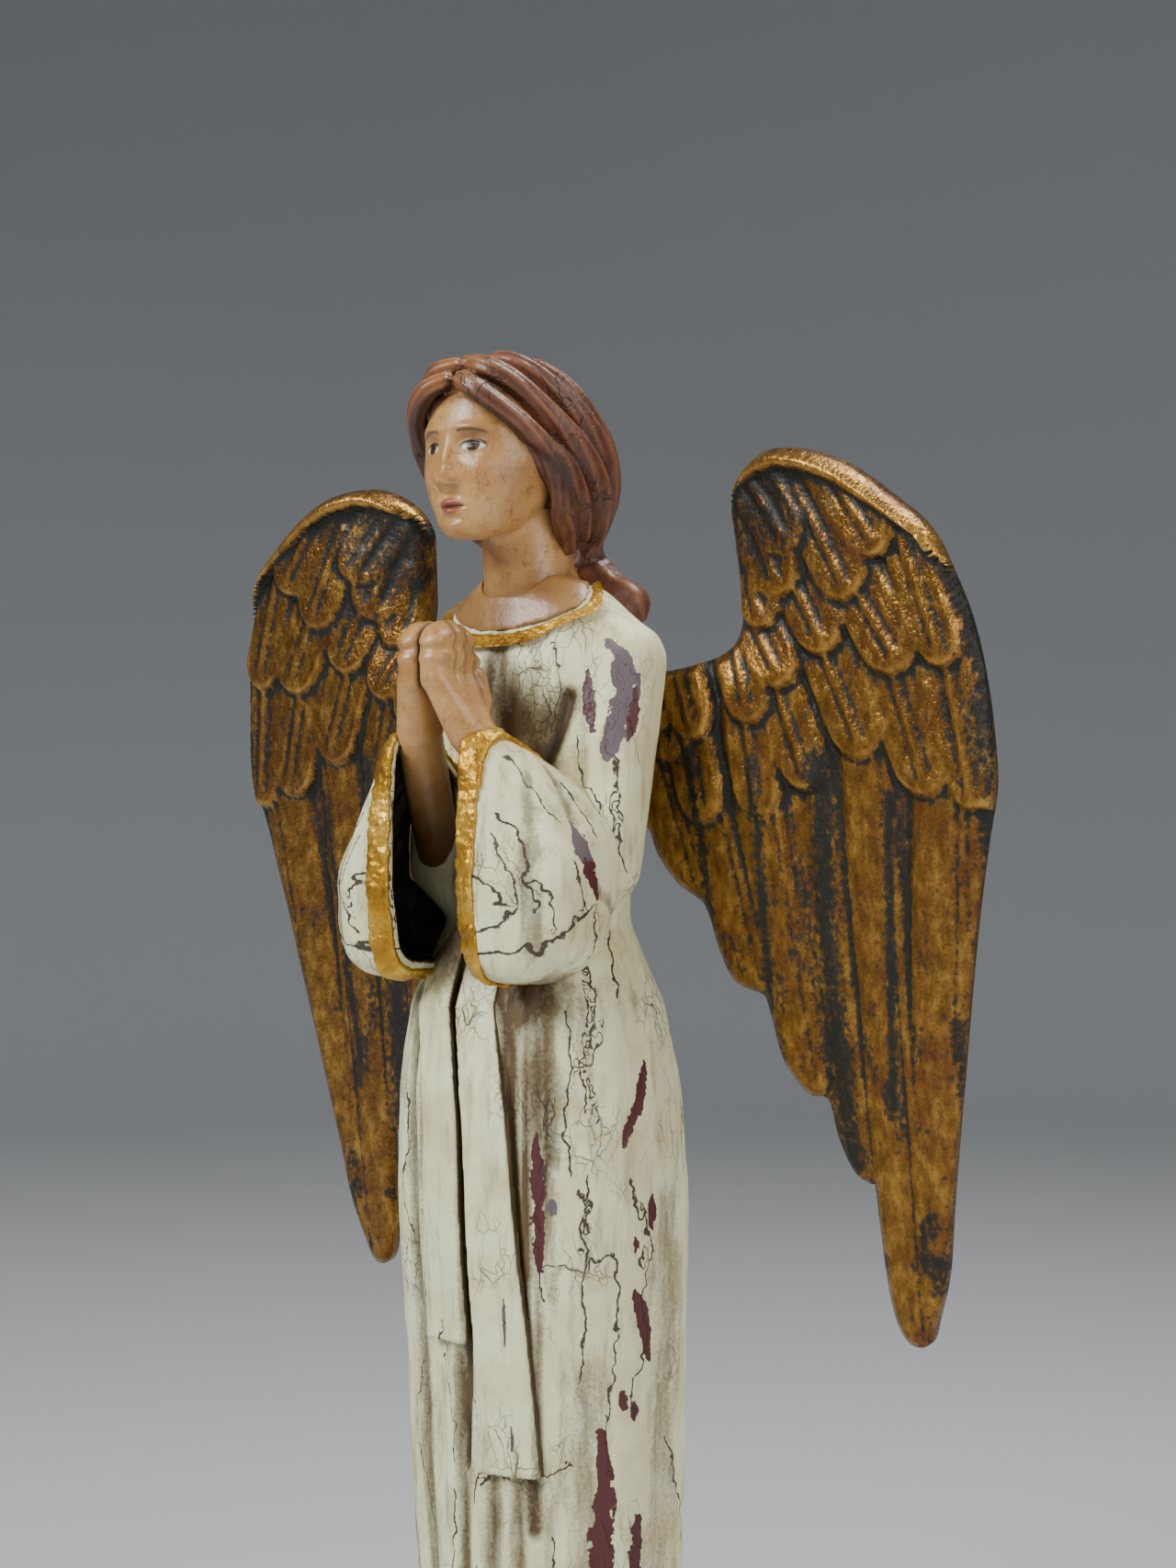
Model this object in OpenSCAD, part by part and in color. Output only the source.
// Praying angel statuette: a slim robed figure with folded wings on a round plinth.
// Millimetres. +Z is up, -Y is the way the figure faces, and +X is the figure's left side.
// The origin is the centre of the felt's underside, where the statuette stands.

/* [Plinth] */
// Diameter of the plinth at its foot
plinth_d = 68; // [60:1:84]
// Height of the plinth
plinth_h = 14; // [10:1:20]
// Thickness of the felt pad
felt_t = 1.5; // [1:0.5:3]

/* [Robe] */
// Height of the robe from hem to collar
robe_h = 240; // [200:1:288]
// Width of the robe at the hem
hem_w = 54; // [46:1:60]
// Width of the robe at the knees
knee_w = 50; // [42:1:60]
// Width of the robe at the hips
hip_w = 56; // [46:1:67]
// Width of the robe at the waist
waist_w = 36; // [30:1:43]
// Width of the robe at the chest
chest_w = 44; // [37:1:52]
// Depth of the skirt as a share of its width
skirt_flat = 0.82; // [0.7:0.01:1]
// Depth of the chest as a share of its width
chest_flat = 0.64; // [0.55:0.01:0.8]

/* [Arms] */
// Distance between the two upper arm axes at the shoulder
shoulder_w = 40; // [34:1:48]
// Diameter of an upper arm
arm_d = 15; // [12:0.5:18]
// Radius of a bell sleeve seen from above
bell_r = 13.2; // [11:0.1:15.5]
// Height of a bell sleeve below the wrist
bell_h = 43; // [36:1:50]
// Wall of a bell sleeve
sleeve_wall = 1.6; // [1:0.1:2.4]
// Diameter of a wrist
wrist_d = 8; // [6.5:0.5:9]
// Length of a hand from wrist to fingertips
hand_len = 21.5; // [18:0.5:26]
// Width of the gilded cuff
cuff_w = 4; // [3:0.5:5]

/* [Head] */
// Height of the head from chin to crown, hair left out
head_h = 31; // [26:0.5:37]
// Width of the head over the cheekbones
head_w = 25; // [21:0.5:30]
// Depth of the head from brow to nape
head_d = 28; // [23:0.5:33]
// Diameter of the neck
neck_d = 15.5; // [13:0.5:18]
// Distance from the collar to the chin
neck_len = 9; // [7:0.5:12]
// Thickness of the hair over the skull
hair_t = 2.3; // [1.6:0.1:3]
// Extra width of the waves at each side of the face
hair_puff = 1.6; // [0.8:0.1:2.4]
// Slope of the neckline, lower at the throat
neckline_deg = 30; // [22:1:36]

/* [Sash] */
// Width of the longer sash tail at its end
sash_long_w = 11; // [9:0.5:13.5]
// Width of the shorter sash tail at its end
sash_short_w = 9.5; // [8:0.5:11.5]
// Width of a sash tail where it leaves the waist
sash_top_w = 6.5; // [5:0.5:8]
// Thickness of a sash tail
sash_t = 1.4; // [1:0.1:2]
// Height of the longer tail's end above the hem
sash_long_z = 88; // [70:1:110]
// Height of the shorter tail's end above the hem
sash_short_z = 110; // [92:1:130]

/* [Wings] */
// Width of a wing from its root edge
wing_w = 82; // [68:1:99]
// Reach of a wing above its root
wing_up = 53.5; // [45:0.5:64]
// Reach of a wing below its root
wing_down = 102.5; // [85:0.5:123]
// Thickness of the wing plate
wing_t = 2.6; // [2:0.1:4]
// Height of each feather layer over the one below
layer_t = 0.9; // [0.5:0.1:1.3]
// Forward lean of the wing tops
wing_tilt = 8; // [5:0.5:11]

/* [Fasteners] */
// Diameter of a wing screw's shank
screw_d = 2.9; // [2.4:0.1:3.5]
// Length of a wing screw's shank
screw_len = 10; // [8:0.5:12]
// Diameter of the base screw's shank
base_screw_d = 4; // [3.5:0.1:5]
// Length of the base screw's shank
base_screw_len = 30; // [24:1:36]
// Diameter of the neck dowel
dowel_d = 5; // [4:0.5:6]
// Length of the neck dowel
dowel_len = 24; // [18:1:26]
// Radial clearance round screws and dowels
clearance = 0.1; // [0.05:0.05:0.2]

/* [Hidden] */

cream = "#dcdcc6";
skin = "#b98a55";
hair_brown = "#6e4030";
gilt = "#b8892e";
bronze = "#8a6230";
steel = "#b0b2b4";
felt_green = "#2f3a33";
plinth_brown = "#4b3122";

ring_sides = 40;         // points round a lofted ring
curve_steps = 5;         // straight steps between two outline points
ball_fn = 30;            // facets round a ball inside a hull
overrun = 1;             // how far a cut runs past the solid
far = 400;               // larger than the statuette, for half spaces

// Heights along the figure
hem_z = felt_t + plinth_h;
collar_z = hem_z + robe_h;
function robe_z(share) = hem_z + robe_h * share;

// Robe form: height share, half width, half depth, forward or back shift of the centre
robe_form = [
    [0.00, hem_w / 2, hem_w / 2 * skirt_flat, 1.5],
    [0.05, hem_w / 2 - 1, (hem_w / 2 - 1) * skirt_flat, 1.8],
    [0.20, knee_w / 2, knee_w / 2 * skirt_flat, 2.2],
    [0.42, (knee_w + hip_w) / 4 + 0.5, (knee_w + hip_w) / 4 * skirt_flat, 0.8],
    [0.56, hip_w / 2, hip_w / 2 * skirt_flat, 0],
    [0.64, hip_w / 2 - 1, (hip_w / 2 - 1) * skirt_flat, -1],
    [0.70, (hip_w + waist_w) / 4 + 1.5, ((hip_w + waist_w) / 4 + 1) * skirt_flat, -1.7],
    [0.76, waist_w / 2, waist_w / 2 * 0.74, -1],
    [0.85, (waist_w + chest_w) / 4, (waist_w + chest_w) / 4 * chest_flat, -0.5],
    [0.91, chest_w / 2, chest_w / 2 * chest_flat, -1],
    [0.955, chest_w / 2, chest_w / 2 * chest_flat - 1, -0.8],
    [0.985, chest_w / 2 - 4, chest_w / 2 * chest_flat - 3, -1],
    [1.00, neck_d / 2 + 4, neck_d / 2 + 0.6, -1.5],
];
robe_levels = [
    0, 0.025, 0.05, 0.1, 0.15, 0.2, 0.25, 0.31, 0.37, 0.42, 0.47, 0.52, 0.56, 0.6, 0.64, 0.67,
    0.70, 0.73, 0.76, 0.79, 0.82, 0.85, 0.88, 0.91, 0.935, 0.955, 0.97, 0.985, 1,
];

function smooth(t) = t * t * (3 - 2 * t);
function row_below(form, share, i = 0) =
    i >= len(form) - 2 || form[i + 1][0] >= share ? i : row_below(form, share, i + 1);
function form_at(form, share) =
    let (i = row_below(form, share), a = form[i], b = form[i + 1],
         t = min(1, max(0, (share - a[0]) / (b[0] - a[0]))))
    a + (b - a) * smooth(t);

// Upper arms: straight from the shoulder down and a little forward to the elbow
arm_r = arm_d / 2;
shoulder = [shoulder_w / 2, -1, robe_z(0.95)];
elbow = [shoulder_w / 2 - 2.5, -5.5, robe_z(0.795)];
function arm_at(z) =
    let (t = min(1, max(0, (z - elbow.z) / (shoulder.z - elbow.z)))) elbow + (shoulder - elbow) * t;
function arm_reach(z, grow) =
    let (past = max(0, z - shoulder.z, elbow.z - z), r = arm_r + grow)
    past >= r ? 0 : sqrt(r * r - past * past);

// Distance from the robe's axis to its surface in direction a
function ellipse_ray(a, half_x, half_y) =
    1 / sqrt(pow(cos(a) / half_x, 2) + pow(sin(a) / half_y, 2));
function disc_ray(a, centre, r) =
    let (d = norm(centre), turn = a - atan2(centre.y, centre.x), side = d * sin(turn))
    r > abs(side) && cos(turn) > 0 ? d * cos(turn) + sqrt(r * r - side * side) : 0;
function robe_ray(a, z, s, grow) =
    let (arm = arm_at(z), r = arm_reach(z, grow))
    max(ellipse_ray(a, s[1] + grow, s[2] + grow),
        disc_ray(a, [arm.x, arm.y - s[3]], r), disc_ray(a, [-arm.x, arm.y - s[3]], r));
function robe_ring(share, grow) =
    let (s = form_at(robe_form, share), z = robe_z(share))
    [for (i = [0:ring_sides - 1])
        let (a = 360 * i / ring_sides, r = robe_ray(a, z, s, grow))
        [r * cos(a), s[3] + r * sin(a), z]];

// Two triangles between four neighbours, split so that left and right mirror each other
function quad(low_a, low_b, high_a, high_b, on_left) =
    on_left ? [[low_a, high_a, high_b], [low_a, high_b, low_b]]
            : [[low_a, high_a, low_b], [high_a, high_b, low_b]];

// A closed solid through rings of points, listed from the lowest to the highest.
// Each ring starts on the figure's left and goes round over the back.
module loft(rings) {
    n = len(rings[0]);
    m = len(rings);
    polyhedron(
        points = [for (r = rings) each r],
        faces = [
            [for (i = [0:n - 1]) i],
            for (k = [0:m - 2]) for (i = [0:n - 1])
                let (j = (i + 1) % n)
                each quad(k * n + i, k * n + j, (k + 1) * n + i, (k + 1) * n + j, i < n / 4 || i >= n * 3 / 4),
            [for (i = [n - 1:-1:0]) (m - 1) * n + i],
        ]);
}

// Turns its child into one mesh, for shapes that have no bore
module as_mesh() {
    resize([0, 0, 0]) children();
}

module both_ways() {
    children();
    mirror([1, 0, 0]) children();
}

module robe_solid(grow = 0) {
    loft([for (share = robe_levels) robe_ring(share, grow)]);
}

// Everything above the sloping neckline
neckline_z = robe_z(0.965);
neckline_front_y = -15;
module above_neckline(lift = 0) {
    translate([0, neckline_front_y, neckline_z + lift])
        rotate([neckline_deg, 0, 0])
            translate([-far / 2, -far / 2, 0])
                cube([far, far, far / 2]);
}

module robe_below_neckline() {
    difference() {
        robe_solid();
        above_neckline();
    }
}

// Where the wings bear on the back. The front of the wing plate is this plane.
wing_root = [0, 10.6, robe_z(0.877)];
wing_screws_at = [[9, 7], [9, -5]];
module at_wing_root() {
    translate(wing_root) rotate([wing_tilt, 0, 0]) children();
}
seat_w = chest_w + 2 * arm_d;
seat_h = 32;
// A wide back reaches the feather layers too, which stand proud of the wing plate
module wing_seat() {
    at_wing_root() {
        translate([-seat_w / 2, 0, -seat_h / 2 + wing_screws_at[0].y / 2])
            cube([seat_w, arm_d, seat_h]);
        both_ways() feather_layers();
    }
}
module wing_screw_cuts(r, depth) {
    at_wing_root() for (p = wing_screws_at)
        translate([p.x, -depth, p.y]) rotate([-90, 0, 0]) cylinder(r = r, h = 2 * depth, $fn = 32);
}

dowel_y = -3.5;
dowel_lean = 12;
module at_dowel() {
    translate([0, dowel_y, collar_z]) rotate([dowel_lean, 0, 0]) children();
}
module dowel_bore() {
    at_dowel() translate([0, 0, -dowel_len / 2 - 1])
        cylinder(r = dowel_d / 2 + clearance, h = dowel_len + 2, $fn = 32);
}

base_screw_y = 1.5;
base_head_h = 2.6;
base_head_r = base_screw_d;
base_bore_spare = 2;    // empty bore past the base screw's end

module robe_body() {
    color(cream) difference() {
        robe_solid();
        above_neckline();
        wing_seat();
        both_ways() wing_screw_cuts(screw_d / 2 + clearance, screw_len);
        dowel_bore();
        translate([0, base_screw_y, felt_t])
            cylinder(r = base_screw_d / 2 + clearance, h = base_screw_len + base_bore_spare, $fn = 32);
    }
}

// Gilded band that lies on the robe just below the neckline
neckline_band_w = 3.2;
band_t = 0.5;
module neckline_band() {
    color(gilt) as_mesh() difference() {
        robe_solid(band_t);
        robe_solid();
        above_neckline();
        difference() {
            translate([-far / 2, -far / 2, 0]) cube([far, far, far]);
            above_neckline(-neckline_band_w);
        }
    }
}

// Sash tails: straps that follow the front of the skirt
sash_x = 3;             // middle of the groove between the tails
sash_gap = 2;           // width of that groove
module sash_tail(side, tip_w, tip_z) {
    near = sash_x + side * sash_gap / 2;
    color(cream) as_mesh() difference() {
        intersection() {
            robe_solid(sash_t);
            rotate([90, 0, 0]) linear_extrude(far / 2) polygon([
                [near, hem_z + tip_z],
                [near + side * tip_w, hem_z + tip_z],
                [near + side * sash_top_w, robe_z(0.755)],
                [near, robe_z(0.755)]]);
        }
        robe_solid();
        both_ways() bell_form(-band_t - clearance);
    }
}

// Bell sleeves, drawn on the figure's left: an egg below the forearm, with its mouth turned inward
bell = [13.8, -19.6, robe_z(0.718) + bell_h / 2];
wrist = [6.4, -26, bell.z + bell_h / 2];
mouth_x = 8;
module bell_form(shrink) {
    r = bell_r - shrink;
    hull() {
        translate([bell.x, bell.y, bell.z - bell_h / 2 + bell_r + 3]) sphere(r = r, $fn = ball_fn);
        translate([bell.x + 0.5, bell.y + 1, bell.z - bell_h / 2 + bell_r]) sphere(r = r, $fn = ball_fn);
        translate([wrist.x + 1, wrist.y + 1, wrist.z - wrist_d / 2 - 1])
            sphere(r = wrist_d / 2 + 1.8 - shrink, $fn = ball_fn);
        translate([elbow.x - 1, elbow.y - 2, elbow.z + 6]) sphere(r = arm_r - shrink, $fn = ball_fn);
    }
}
module inside_mouth(x = mouth_x) {
    translate([x - far, -far / 2, 0]) cube([far, far, far]);
}
module sleeve() {
    color(cream) as_mesh() difference() {
        bell_form(0);
        bell_form(sleeve_wall);
        inside_mouth();
        robe_solid();
    }
}
module cuff_band() {
    color(gilt) as_mesh() difference() {
        intersection() {
            bell_form(-band_t);
            inside_mouth(mouth_x + cuff_w);
        }
        bell_form(0);
        inside_mouth();
        robe_solid();
        hand_form(0.2);
    }
}

// Forearm and hand, drawn on the figure's left. The palm lies on the middle plane.
palm_gap = 0.15;
forearm_root = [elbow.x - 2, elbow.y - 5, elbow.z + 4];
palm_d = 11;
palm_t = 5.4;
module hand_form(grow = 0) {
    fingers = [palm_t / 2 + palm_gap, wrist.y - 1.5, wrist.z + hand_len - palm_t / 2 - 2];
    hull() {
        translate(forearm_root) sphere(r = 4 + grow, $fn = ball_fn);
        translate([wrist.x - 0.5, wrist.y, wrist.z]) sphere(r = wrist_d / 2 + grow, $fn = ball_fn);
    }
    hull() {
        translate([wrist.x - 0.5, wrist.y, wrist.z]) sphere(r = wrist_d / 2 + grow, $fn = ball_fn);
        for (y = [-palm_d / 2 + 2, palm_d / 2 - 2])
            translate([fingers.x, fingers.y + y, wrist.z + 9])
                sphere(r = palm_t / 2 + grow, $fn = ball_fn);
    }
    hull() for (y = [-palm_d / 2 + 2, palm_d / 2 - 3], z = [9, hand_len - palm_t / 2 - 2])
        translate([fingers.x - 0.4, fingers.y + y, wrist.z + z])
            sphere(r = palm_t / 2 + grow, $fn = ball_fn);
}
module hand() {
    color(skin) as_mesh() difference() {
        intersection() {
            hand_form();
            translate([palm_gap, -far / 2, 0]) cube([far, far, far]);
        }
        robe_solid();
        difference() {
            bell_form(0);
            bell_form(sleeve_wall);
            inside_mouth();
        }
    }
}

// Head form: height share from chin to crown, half width, half depth, shift of the centre
chin_z = collar_z + neck_len;
head_y = -11.5;
head_form = [
    [0.00, head_w * 0.15, head_d * 0.11, -head_d * 0.30],
    [0.07, head_w * 0.29, head_d * 0.24, -head_d * 0.20],
    [0.22, head_w * 0.41, head_d * 0.38, -head_d * 0.10],
    [0.42, head_w * 0.49, head_d * 0.48, -head_d * 0.02],
    [0.62, head_w * 0.50, head_d * 0.50, 0],
    [0.80, head_w * 0.44, head_d * 0.45, 0.3],
    [0.93, head_w * 0.28, head_d * 0.29, 0.6],
    [1.00, head_w * 0.08, head_d * 0.09, 0.8],
];
head_levels = [0, 0.03, 0.07, 0.14, 0.22, 0.32, 0.42, 0.52, 0.62, 0.71, 0.80, 0.87, 0.93, 0.97, 1];
function head_ring(share, grow, puff) =
    let (s = form_at(head_form, share))
    [for (i = [0:ring_sides - 1])
        let (a = 360 * i / ring_sides, r = ellipse_ray(a, s[1] + grow + puff, s[2] + grow))
        [r * cos(a), head_y + s[3] + r * sin(a), chin_z - grow + (head_h + 2 * grow) * share]];
module skull(grow = 0, puff = 0) {
    loft([for (share = head_levels) head_ring(share, grow, puff)]);
}
module neck(grow = 0) {
    top = [0, head_y + 4.5, chin_z + head_h * 0.3];
    foot = [0, -2, collar_z - 1];
    steps = 6;
    loft([for (k = [0:steps])
        let (t = k / steps, c = foot + (top - foot) * t, r = neck_d / 2 + grow + 1.4 * pow(1 - t, 3))
        [for (i = [0:ring_sides - 1])
            let (a = 360 * i / ring_sides) [r * cos(a), c.y + r * sin(a), c.z]]]);
}
module head_solid() {
    skull();
    difference() {
        neck();
        robe_below_neckline();
    }
    intersection() {
        robe_solid();
        above_neckline();
    }
}
module head() {
    color(skin) difference() {
        as_mesh() head_solid();
        dowel_bore();
    }
}

// Hair: a cap over the skull, and locks that fall on the nape and the backs of the shoulders.
// Over the shoulders it clears the robe by the thickness of the gilded band.
module hair() {
    nape = [0, 1.5, collar_z + 6.3];
    face_y = head_y - head_d * 0.19;
    jaw_y = head_y + 0.7;
    color(hair_brown) as_mesh() difference() {
        union() {
            skull(hair_t, hair_puff);
            hull() {
                translate([0, head_y + 5, chin_z + head_h * 0.45]) sphere(r = head_w / 2, $fn = ball_fn);
                translate(nape) sphere(r = 8.5, $fn = ball_fn);
            }
            hull() both_ways() {
                translate([12.8, 8.5, collar_z - 0.7]) sphere(r = 4.6, $fn = ball_fn);
                translate([12.5, 5, collar_z - 6]) sphere(r = 5, $fn = ball_fn);
                translate([5, 6.5, collar_z - 8]) sphere(r = 6, $fn = ball_fn);
                translate(nape) sphere(r = 5, $fn = ball_fn);
            }
        }
        skull();
        neck();
        robe_solid(band_t);
        // The face and the throat stay bare
        translate([-far / 2, face_y - far, 0]) cube([far, far, chin_z + head_h * 0.78]);
        translate([-far / 2, jaw_y - far, 0]) cube([far, far, chin_z + head_h * 0.14]);
        wing_space();
    }
}
module wing_space() {
    at_wing_root() translate([-far / 2, -2 * layer_t - 0.3, -wing_down])
        cube([far, wing_t + far / 8, wing_down + 19]);
}

// Wing outline, drawn on the figure's left in the plane of the plate, as shares of its reach
edge_points = [
    [0.04, 0.28], [0.13, 0.30], [0.26, 0.31], [0.36, 0.37], [0.405, 0.50], [0.40, 0.70],
    [0.41, 0.87], [0.465, 0.965], [0.55, 1.0], [0.66, 0.97], [0.78, 0.86], [0.885, 0.67],
    [0.95, 0.42], [0.985, 0.14], [0.985, -0.04], [0.95, -0.19], [0.88, -0.42], [0.82, -0.64],
    [0.775, -0.82], [0.74, -0.95], [0.70, -1.0], [0.655, -0.975], [0.62, -0.86], [0.59, -0.73],
];
// Inner corners of the stepped trailing edge, from the tip back to the root
step_corners = [[0.59, -0.73], [0.48, -0.58], [0.355, -0.41], [0.235, -0.26], [0.04, -0.10]];
function wing_point(p) = [p.x * wing_w + 5, p.y * (p.y > 0 ? wing_up : wing_down)];
function spline(p0, p1, p2, p3, t) =
    0.5 * (2 * p1 + (p2 - p0) * t + (2 * p0 - 5 * p1 + 4 * p2 - p3) * t * t
        + (3 * p1 - p0 - 3 * p2 + p3) * t * t * t);
function spline_through(p) =
    let (n = len(p))
    [for (i = [0:n - 2]) for (k = [0:curve_steps - 1])
        spline(p[max(0, i - 1)], p[i], p[i + 1], p[min(n - 1, i + 2)], k / curve_steps)];
// A rounded feather tip from one inner corner to the next
function feather_tip(a, b) =
    let (c = [b.x + (a.x - b.x) * 0.42, a.y + (b.y - a.y) * 0.04])
    [for (k = [0:curve_steps - 1])
        let (t = k / curve_steps) a * (1 - t) * (1 - t) + c * 2 * t * (1 - t) + b * t * t];
function scallops(corners) =
    [for (i = [0:len(corners) - 2]) each feather_tip(corners[i], corners[i + 1])];
wing_outline = concat(
    [for (p = spline_through(edge_points)) wing_point(p)],
    [for (p = scallops(step_corners)) wing_point(p)],
    [wing_point(step_corners[len(step_corners) - 1])]);

// Feather layers over the primaries: each ends in a scalloped edge, from the outer side inward
long_coverts = concat(
    [for (p = spline_through([[0.15, 0.22], [0.30, 0.27], [0.43, 0.42], [0.445, 0.83], [0.55, 0.93],
                              [0.72, 0.83], [0.85, 0.62], [0.93, 0.2], [0.94, -0.08], [0.93, -0.2]]))
        wing_point(p)],
    [for (p = scallops([[0.93, -0.2], [0.79, -0.17], [0.64, -0.10], [0.50, -0.07], [0.36, -0.10],
                        [0.25, -0.09], [0.15, -0.02]])) wing_point(p)],
    [wing_point([0.15, -0.02])]);
short_coverts = concat(
    [for (p = spline_through([[0.24, 0.21], [0.34, 0.27], [0.45, 0.42], [0.465, 0.80], [0.56, 0.90],
                              [0.70, 0.80], [0.82, 0.60], [0.88, 0.35]])) wing_point(p)],
    [for (p = scallops([[0.88, 0.35], [0.76, 0.33], [0.64, 0.30], [0.53, 0.28], [0.43, 0.12],
                        [0.33, 0.08], [0.24, 0.10]])) wing_point(p)],
    [wing_point([0.24, 0.10])]);

module wing_layer(outline, front) {
    translate([0, wing_t, 0]) rotate([90, 0, 0]) linear_extrude(wing_t + front) polygon(outline);
}
module feather_layers() {
    wing_layer(long_coverts, layer_t);
    wing_layer(short_coverts, 2 * layer_t);
}
module wing() {
    color(bronze) difference() {
        at_wing_root() {
            wing_layer(wing_outline, 0);
            feather_layers();
        }
        wing_screw_cuts(screw_d / 2 + clearance, screw_len);
    }
}
wing_head_r = screw_d * 0.95;
wing_head_h = 1.8;
module wing_screws() {
    color(steel) at_wing_root() for (p = wing_screws_at)
        translate([p.x, 0, p.y]) rotate([-90, 0, 0]) {
            translate([0, 0, wing_t - screw_len]) cylinder(r = screw_d / 2, h = screw_len, $fn = 32);
            translate([0, 0, wing_t]) cylinder(r = wing_head_r, h = wing_head_h, $fn = 32);
        }
}

module neck_dowel() {
    color(steel) at_dowel() translate([0, 0, -dowel_len / 2])
        cylinder(r = dowel_d / 2, h = dowel_len, $fn = 32);
}

// Turned plinth: foot, cove and rounded top
foot_h = 3.4;
foot_chamfer = 0.8;
cove_r = 2.6;
cove_step = 0.6;
shoulder_r = 2.4;
module plinth() {
    foot_r = plinth_d / 2;
    top_r = foot_r - cove_r - cove_step;
    color(plinth_brown) difference() {
        rotate_extrude($fn = 96) polygon([
            [0, felt_t], [foot_r - foot_chamfer, felt_t], [foot_r, felt_t + foot_chamfer],
            [foot_r, felt_t + foot_h],
            for (a = [0:15:90])
                [foot_r - cove_step - cove_r * sin(a), felt_t + foot_h + cove_r * (1 - cos(a))],
            for (a = [0:15:90])
                [top_r - shoulder_r * (1 - cos(a)), hem_z - shoulder_r * (1 - sin(a))],
            [0, hem_z]]);
        translate([0, base_screw_y, 0])
            cylinder(r = base_screw_d / 2 + clearance, h = hem_z + overrun, $fn = 32);
        translate([0, base_screw_y, 0])
            cylinder(r = base_head_r + 2 * clearance, h = felt_t + base_head_h + 2 * clearance, $fn = 32);
    }
}
module base_screw() {
    color(steel) translate([0, base_screw_y, felt_t + 2 * clearance]) {
        cylinder(r = base_head_r, h = base_head_h, $fn = 32);
        cylinder(r = base_screw_d / 2, h = base_screw_len, $fn = 32);
    }
}
module felt_pad() {
    color(felt_green) cylinder(r = plinth_d / 2 - 2, h = felt_t, $fn = 96);
}

felt_pad();
plinth();
base_screw();
robe_body();
neckline_band();
sash_tail(1, sash_long_w, sash_long_z);  // sash_tail_long
sash_tail(-1, sash_short_w, sash_short_z);  // sash_tail_short
sleeve();  // left_sleeve
mirror([1, 0, 0]) sleeve();  // right_sleeve
cuff_band();  // left_cuff_band
mirror([1, 0, 0]) cuff_band();  // right_cuff_band
hand();  // left_hand
mirror([1, 0, 0]) hand();  // right_hand
neck_dowel();
head();
hair();
wing();  // left_wing
mirror([1, 0, 0]) wing();  // right_wing
wing_screws();  // left_wing_screws
mirror([1, 0, 0]) wing_screws();  // right_wing_screws
